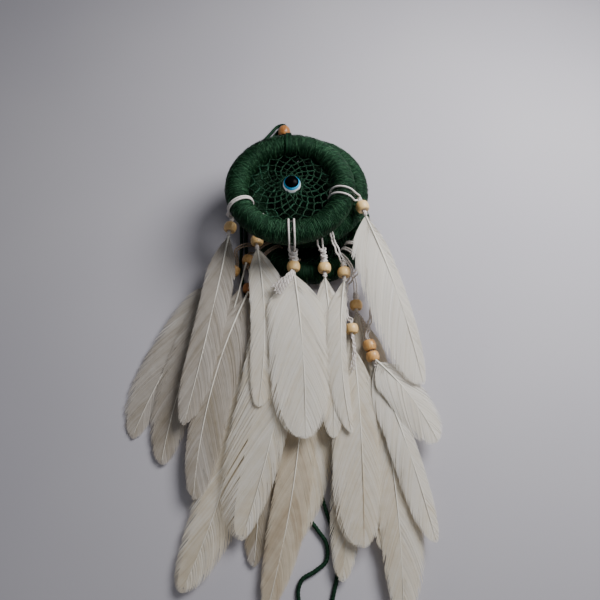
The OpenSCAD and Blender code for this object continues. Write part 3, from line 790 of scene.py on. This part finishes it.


# ------------------------------------------------------------------ feathers
# name: pendant, height at quill and tip, length, heading, bow, width left and right, roundness, bare start, tint; the
# tint is partly each feather's own tone and partly painted shade, lower for the feathers that lie in shade
FEATHERS = {
    "feather_1": (1, 20, 11.5, 118, -10, 1, 9, 9, 2.6, 0.015, 0.36),
    "feather_2_right": (2, 20.6, 16, 97, 4, 2, 19, 14, 2.6, 0.015, 0.60),
    "feather_2_left": (2, 16.6, 8.5, 150, -10, 6, 23, 8, 2.4, 0.015, 0.50),
    "feather_3": (3, 33, 16, 107, 17, 3, 18, 5, 2.2, 0.015, 0.78),
    "feather_4": (4, 18, 12.3, 96, 2, 2, 8, 7, 2.4, 0.015, 0.55),
    "feather_5": (5, 19.3, 13.6, 90, 1, -4, 8, 3, 2.2, 0.015, 0.58),
    "feather_6": (6, 19.0, 13.9, 98, 2, 4, 8, 11.7, 2.2, 0.015, 0.55),
    "feather_7_outer": (7, 7, 1, 112, -28, -5, 15, 9, 2.4, 0.015, 0.46),
    "feather_7_inner": (7, 8.5, 2.5, 118, -17, -6, 13, 11, 2.4, 0.015, 0.34),
    "feather_8_short": (8, 10, 6.8, 103, -15, 2, 7, 8, 2.2, 0.16, 0.32),
    "feather_8_long": (8, 4.3, 2.2, 171, 3, 6, 10, 10, 2.6, 0.1, 0.26),
    "feather_9_short": (9, 11.8, 7.5, 120, -12, -6, 8, 13, 2.4, 0.015, 0.32),
    "feather_9_long": (9, 8, 4, 164, -10, 11, 13, 15, 3, 0.015, 0.42),
    "feather_10_right": (10, 8, 6.6, 133, 4, 4, 9, 12, 2.8, 0.015, 0.50),
    "feather_10_left": (10, 6.2, 4.8, 147, -5, 2, 10.5, 9, 2.4, 0.015, 0.48),
    "feather_11": (11, 12.9, 9.8, 113, 1, 2, 16, 8.9, 4, 0.08, 0.50),
    "feather_12_short": (12, 15.6, 13, 54, 35, 3, 12, 9, 2.6, 0.015, 0.74),
    "feather_12_mid": (12, 13.6, 11.5, 97, 16, 2, 10, 5, 2.4, 0.015, 0.64),
    "feather_12_long": (12, 10.9, 6.9, 128, 4, 4, 10, 13, 2.6, 0.015, 0.52),
    "feathers_13#a": (13, 7, 5.2, 149, -7, 6, 10, 10, 2.6, 0.015, 0.29),
    "feathers_13#b": (13, 5, 3.4, 122, -4, 9, 9, 13, 1.8, 0.015, 0.46),
}


# how far the barbs of some feathers have parted into locks
COMB = {"feather_2_left": 0.95, "feather_9_long": 0.6, "feather_7_outer": 0.45, "feather_3": 0.3, "feather_12_short": 0.5,
        "feather_4": 0.5, "feather_10_left": 0.5, "feather_12_long": 0.4, "feather_9_short": 0.35,
        "feather_1": 0.3, "feather_7_inner": 0.4, "feather_8_long": 0.4, "feather_10_right": 0.3, "feather_12_mid": 0.35}


def vane_width(t, t0, p):
    rise = np.sin(np.pi / 2 * np.clip((t - t0) / 0.24, 0, 1)) ** 1.1
    fall = np.sqrt(np.clip(1 - np.clip((t - 0.6) / 0.4, 0, 1) ** p, 0, 1))
    return rise * fall


def feather_mesh(acc, f, seed, comb):
    n, zb, zt, L, head, bow, wl, wr, p, t0, tint = f
    g = rnd(seed)
    b = np.array(PEND[n - 1][2], float)
    d, s = head_dir(head), head_side(head)
    base = np.array([*(b + 4.5 * d)[:2], zb])
    slope = math.atan((zb - zt) / L)
    along = d * math.cos(slope) + np.array([0, 0, -math.sin(slope)])
    normal = unit(np.cross(s, -along))
    if normal[2] < 0:
        normal = -normal
    L = L * 0.995

    def rx(t):
        return bow * 4 * t * (1 - t)

    def put(x, t, z):
        x, t, z = np.broadcast_arrays(x, t, z)
        return base + x[..., None] * s + (L * t)[..., None] * along + z[..., None] * normal

    wmax = max(wl, wr)
    wave_f, wave_p = g.uniform(1.2, 2.2), g.uniform(0, 6)

    def camber(x, t):
        return 0.12 - 0.75 * (x / wmax) ** 2 + 0.24 * np.sin(wave_f * 6 * t + wave_p + x * 0.12)

    steps = 8
    sp = np.linspace(0, 1, steps)
    for side, w in ((1, wr), (-1, wl)):
        # points round the edge of the vane, evenly spaced
        tt = np.concatenate([np.linspace(t0, 0.9, 160), 0.9 + 0.1 * np.sin(np.linspace(0, np.pi / 2, 60))[1:]])
        ex, ey = w * vane_width(tt, t0, p), L * tt
        arc = np.concatenate([[0], np.cumsum(np.hypot(np.diff(ex), np.diff(ey)))])
        count = int(arc[-1] * 1.75)
        at = np.linspace(0.5, arc[-1] - 0.05, count)
        te = np.interp(at, arc, tt)
        # barbs run in locks that part from each other near the edge
        lock, k = np.zeros(count), 0
        centre = te.copy()
        depth, step, tone = np.zeros(count), np.zeros(count), np.zeros(count)
        deep = 0.02 + 0.12 * comb
        while k < count:
            size = int(g.integers(4, 16 + int(10 * (1 - comb))))
            part = slice(k, min(k + size, count))
            centre[part] = te[part].mean()
            depth[part] = g.choice([0.03, 0.10, 0.22, 0.45], p=[0.66 - 0.4 * comb, 0.24 + 0.1 * comb, 0.10 - deep / 2 + 0.2 * comb, deep / 2 + 0.1 * comb])
            step[part] = g.normal() * (0.025 + 0.10 * comb)
            tone[part] = g.normal() * (0.04 + 0.07 * comb)
            k += size
        cot = g.uniform(2.0, 2.5)
        we = w * vane_width(te, t0, p) * (1 + 0.025 * g.normal(size=count)) + 0.15
        tr = te - cot * we / L * (0.85 + 0.3 * te)
        tr = np.clip(tr, t0 * 0.6 + 0.004 + 0.0003 * np.arange(count), None)
        width = 0.62 + 0.12 * g.random(count)
        roll = g.normal(size=count) * (0.035 + 0.04 * comb) + 0.035
        # the vanes darken and turn browner towards low y, the front of the pile: painted shade
        low = np.clip(-(b[1] - L * te - 30) / 150, 0, 1)
        shade = tint + tone + g.normal(size=count) * 0.05 - 0.12 * low
        shade = shade + 0.02 * np.sin(np.arange(count) * 0.21 + g.uniform(0, 6))
        zj = g.normal(size=count) * 0.010 + step
        S = sp[None, :]
        te2 = te[:, None] + (centre - te)[:, None] * depth[:, None] * S ** 3
        tm = tr + 0.40 * (te - tr)
        # a quadratic curve from the shaft to the edge
        t_curve = (1 - S) ** 2 * tr[:, None] + 2 * S * (1 - S) * tm[:, None] + S ** 2 * te2
        r0, r1 = rx(tr), rx(te)
        x_curve = (1 - S) ** 2 * (r0 + side * 0.10)[:, None] + 2 * S * (1 - S) * (r0 + side * 0.60 * we)[:, None] + S ** 2 * (r1 + side * we)[:, None]
        x_rel = np.abs(x_curve - rx(t_curve))
        z_curve = camber(x_rel, t_curve) + zj[:, None]
        c = put(x_curve, t_curve, z_curve)
        dirv = np.gradient(c, axis=1)
        dirv /= np.maximum(np.linalg.norm(dirv, axis=2, keepdims=True), 1e-9)
        across = np.cross(dirv, normal)
        across /= np.maximum(np.linalg.norm(across, axis=2, keepdims=True), 1e-9)
        wv = width[:, None] * (1 - 0.78 * S ** 4) * (0.5 - 0.16 * max(0, comb - 0.4) * S)
        tilt = roll[:, None] * np.ones_like(S) * side
        e1 = c + across * wv[..., None] + normal * tilt[..., None]
        e2 = c - across * wv[..., None] - normal * tilt[..., None]
        v = np.stack([e1, e2], 2).reshape(-1, 3)
        i, k = np.meshgrid(np.arange(count), np.arange(steps - 1), indexing="ij")
        o = (i * steps + k) * 2
        q = np.stack([o, o + 1, o + 3, o + 2], -1).reshape(-1, 4)
        tv = np.repeat((shade[:, None] + 0.03 * S - 0.03).ravel(), 2)
        acc.add(v, [q], 0, tv)
        # a soft web of barbules under the barbs, short of the edge, so that the vane isn't see-through
        us = np.linspace(0, 1, 8)
        tg = np.linspace(t0 + 0.01, 0.985, 90)
        wide = w * vane_width(tg, t0, p) * (0.84 if comb < 0.4 else 0.84 - 0.55 * (comb - 0.4))
        U, TG = np.meshgrid(us, tg, indexing="ij")
        xs = rx(TG) + side * U * wide[None, :]
        zs = camber(U * wide[None, :], TG) - 0.14
        v = put(xs, TG, zs).reshape(-1, 3)
        i, k = np.meshgrid(np.arange(len(us) - 1), np.arange(len(tg) - 1), indexing="ij")
        o = i * len(tg) + k
        q = np.stack([o, o + 1, o + 1 + len(tg), o + len(tg)], -1).reshape(-1, 4)
        # the under-sheet darkens towards low y the same way: painted shade
        acc.add(v, [q], 0, tint - 0.02 - 0.10 * float(np.clip(-(b[1] - L * 0.6 - 30) / 150, 0, 1)))
        # stray barbs past the edge
        for j in range(9):
            k = int(g.integers(10, count - 4))
            m = 7
            s2 = np.linspace(0.55, 1, m)
            xx = np.interp(s2, sp, x_curve[k]) + side * (s2 - 0.55) ** 2 * g.uniform(3, 9)
            t2 = np.interp(s2, sp, t_curve[k]) + (s2 - 0.55) * g.normal() * 0.02
            pts = put(xx, t2, camber(np.abs(xx - rx(t2)), t2) + 0.15)
            pts[:, 2] = np.maximum(pts[:, 2], 0.3)
            tube(acc, pts, np.linspace(0.09, 0.03, m), sides=3, mat=0, tint=tint + 0.1, caps=False)
    # down at the foot of the vane
    for j in range(46):
        m = 8
        q = np.linspace(0, 1, m)
        side = g.choice([-1, 1])
        t1 = t0 + g.uniform(0.0, 0.10)
        reach = g.uniform(1.5, 5.5) * min(1, wmax / 10)
        curl = g.uniform(0, 6)
        xx = rx(t1) + side * reach * q + 0.35 * np.sin(5 * q + curl)
        t2 = t1 + (g.uniform(0.01, 0.06)) * q ** 1.5 + 0.004 * np.sin(6 * q + curl)
        pts = put(xx, t2, 0.25 + 0.35 * np.sin(4 * q + curl) * q)
        pts[:, 2] = np.maximum(pts[:, 2], 0.3)
        tube(acc, pts, np.linspace(0.07, 0.025, m), sides=3, mat=0, tint=tint, caps=False)
    # the shaft, with its bare quill running up into the knot
    tq = np.linspace(-4.2 / L, 0.985, 90)
    rr = 0.60 * (1 - 0.80 * np.clip(tq, 0, 1) ** 0.7)
    xx = np.where(tq > 0, rx(np.clip(tq, 0, 1)), 4 * bow * tq)
    zz = 0.16 + 0.12 * np.clip(tq, 0, 1)
    st = 0.72 if n != 11 else 0.72 - 0.5 * np.clip((tq - 0.35) / 0.5, 0, 1)
    tube(acc, put(xx, tq, zz), rr, sides=10, mat=1, tint=np.broadcast_to(st, tq.shape) - 0.05 * np.clip(1 - tq * 8, 0, 1), side=s, flat=0.8)


def feather_piece(name, parts, n, seed):
    acc = Acc()
    for i, f in enumerate(parts):
        feather_mesh(acc, f, seed + 37 * i, COMB.get(name, 0.15))
    # feathers 1, 7, 8 and 9 short lie in shade and take the painted-shade copy of the vane
    lies_in_painted_shade = n in (1, 7, 8) or name == "feather_9_short"
    o = acc.make("plume_" + name, [painted_shade_vane if lies_in_painted_shade else vane_mat, rachis_mat])
    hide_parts(name)
    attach(o, "pendant_%d" % n)


for n in range(1, 14):
    cord_piece(n)
    bead_piece(n)
for i, (name, f) in enumerate(FEATHERS.items()):
    if "#" in name:
        continue
    feather_piece(name, [f], f[0], 1000 + i * 97)
feather_piece("feathers_13", [FEATHERS["feathers_13#a"], FEATHERS["feathers_13#b"]], 13, 3300)

# the cane hoops inside the yarn stay as the CAD made them
for key in "abc":
    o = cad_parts["hoop_" + key]
    o.data.materials.clear()
    o.data.materials.append(cane)
    a = o.data.attributes.new("tint", "FLOAT", "POINT")
    a.data.foreach_set("value", np.full(len(o.data.vertices), 0.5, np.float32))

# ------------------------------------------------------------------ floor and light
fm, nt, fb = material("floor_sheet", rough=0.85, spec=0.2)
nt.links.new(ramp(nt, noise(nt, coords(nt), 5, 2.0), [(0.3, (0.46, 0.45, 0.50)), (0.7, (0.50, 0.49, 0.53))]), fb.inputs["Base Color"])
bump(nt, fb, noise(nt, coords(nt), 900, 2.0), 0.05, 0.0002)
me = bpy.data.meshes.new("floor")
me.from_pydata([(-3, -3, -0.0001), (3, -3, -0.0001), (3, 3, -0.0001), (-3, 3, -0.0001)], [], [(0, 1, 2, 3)])
me.materials.append(fm)
floor = bpy.data.objects.new("floor", me)
bpy.context.scene.collection.objects.link(floor)
floor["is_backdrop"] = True


def area_light(name, loc, target, size, energy, color):
    l = bpy.data.lights.new(name, "AREA")
    l.shape = "DISK"
    l.size = size
    l.energy = energy
    l.color = color
    o = bpy.data.objects.new(name, l)
    o.location = loc
    dv = np.array(target, float) - np.array(loc, float)
    from mathutils import Vector
    o.rotation_euler = Vector(dv).to_track_quat("-Z", "Y").to_euler()
    bpy.context.scene.collection.objects.link(o)


area_light("key", (0.25, 0.18, 0.31), (0, 0, 0), 0.24, 2.6, (1.0, 0.985, 0.975))
area_light("fill", (0.55, -0.35, 1.0), (0, 0, 0), 1.1, 1.3, (0.95, 0.97, 1.0))
world = bpy.data.worlds.new("world")
bpy.context.scene.world = world
world.use_nodes = True
bg = world.node_tree.nodes["Background"]
bg.inputs["Color"].default_value = (0.93, 0.94, 1.0, 1)
bg.inputs["Strength"].default_value = 0.12

bpy.context.view_layer.update()


def plain(x):
    if hasattr(x, "__len__"):
        return [plain(y) for y in x]
    return float(x)


{"cad": plain(CAD_BOX), "visual": plain(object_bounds())}
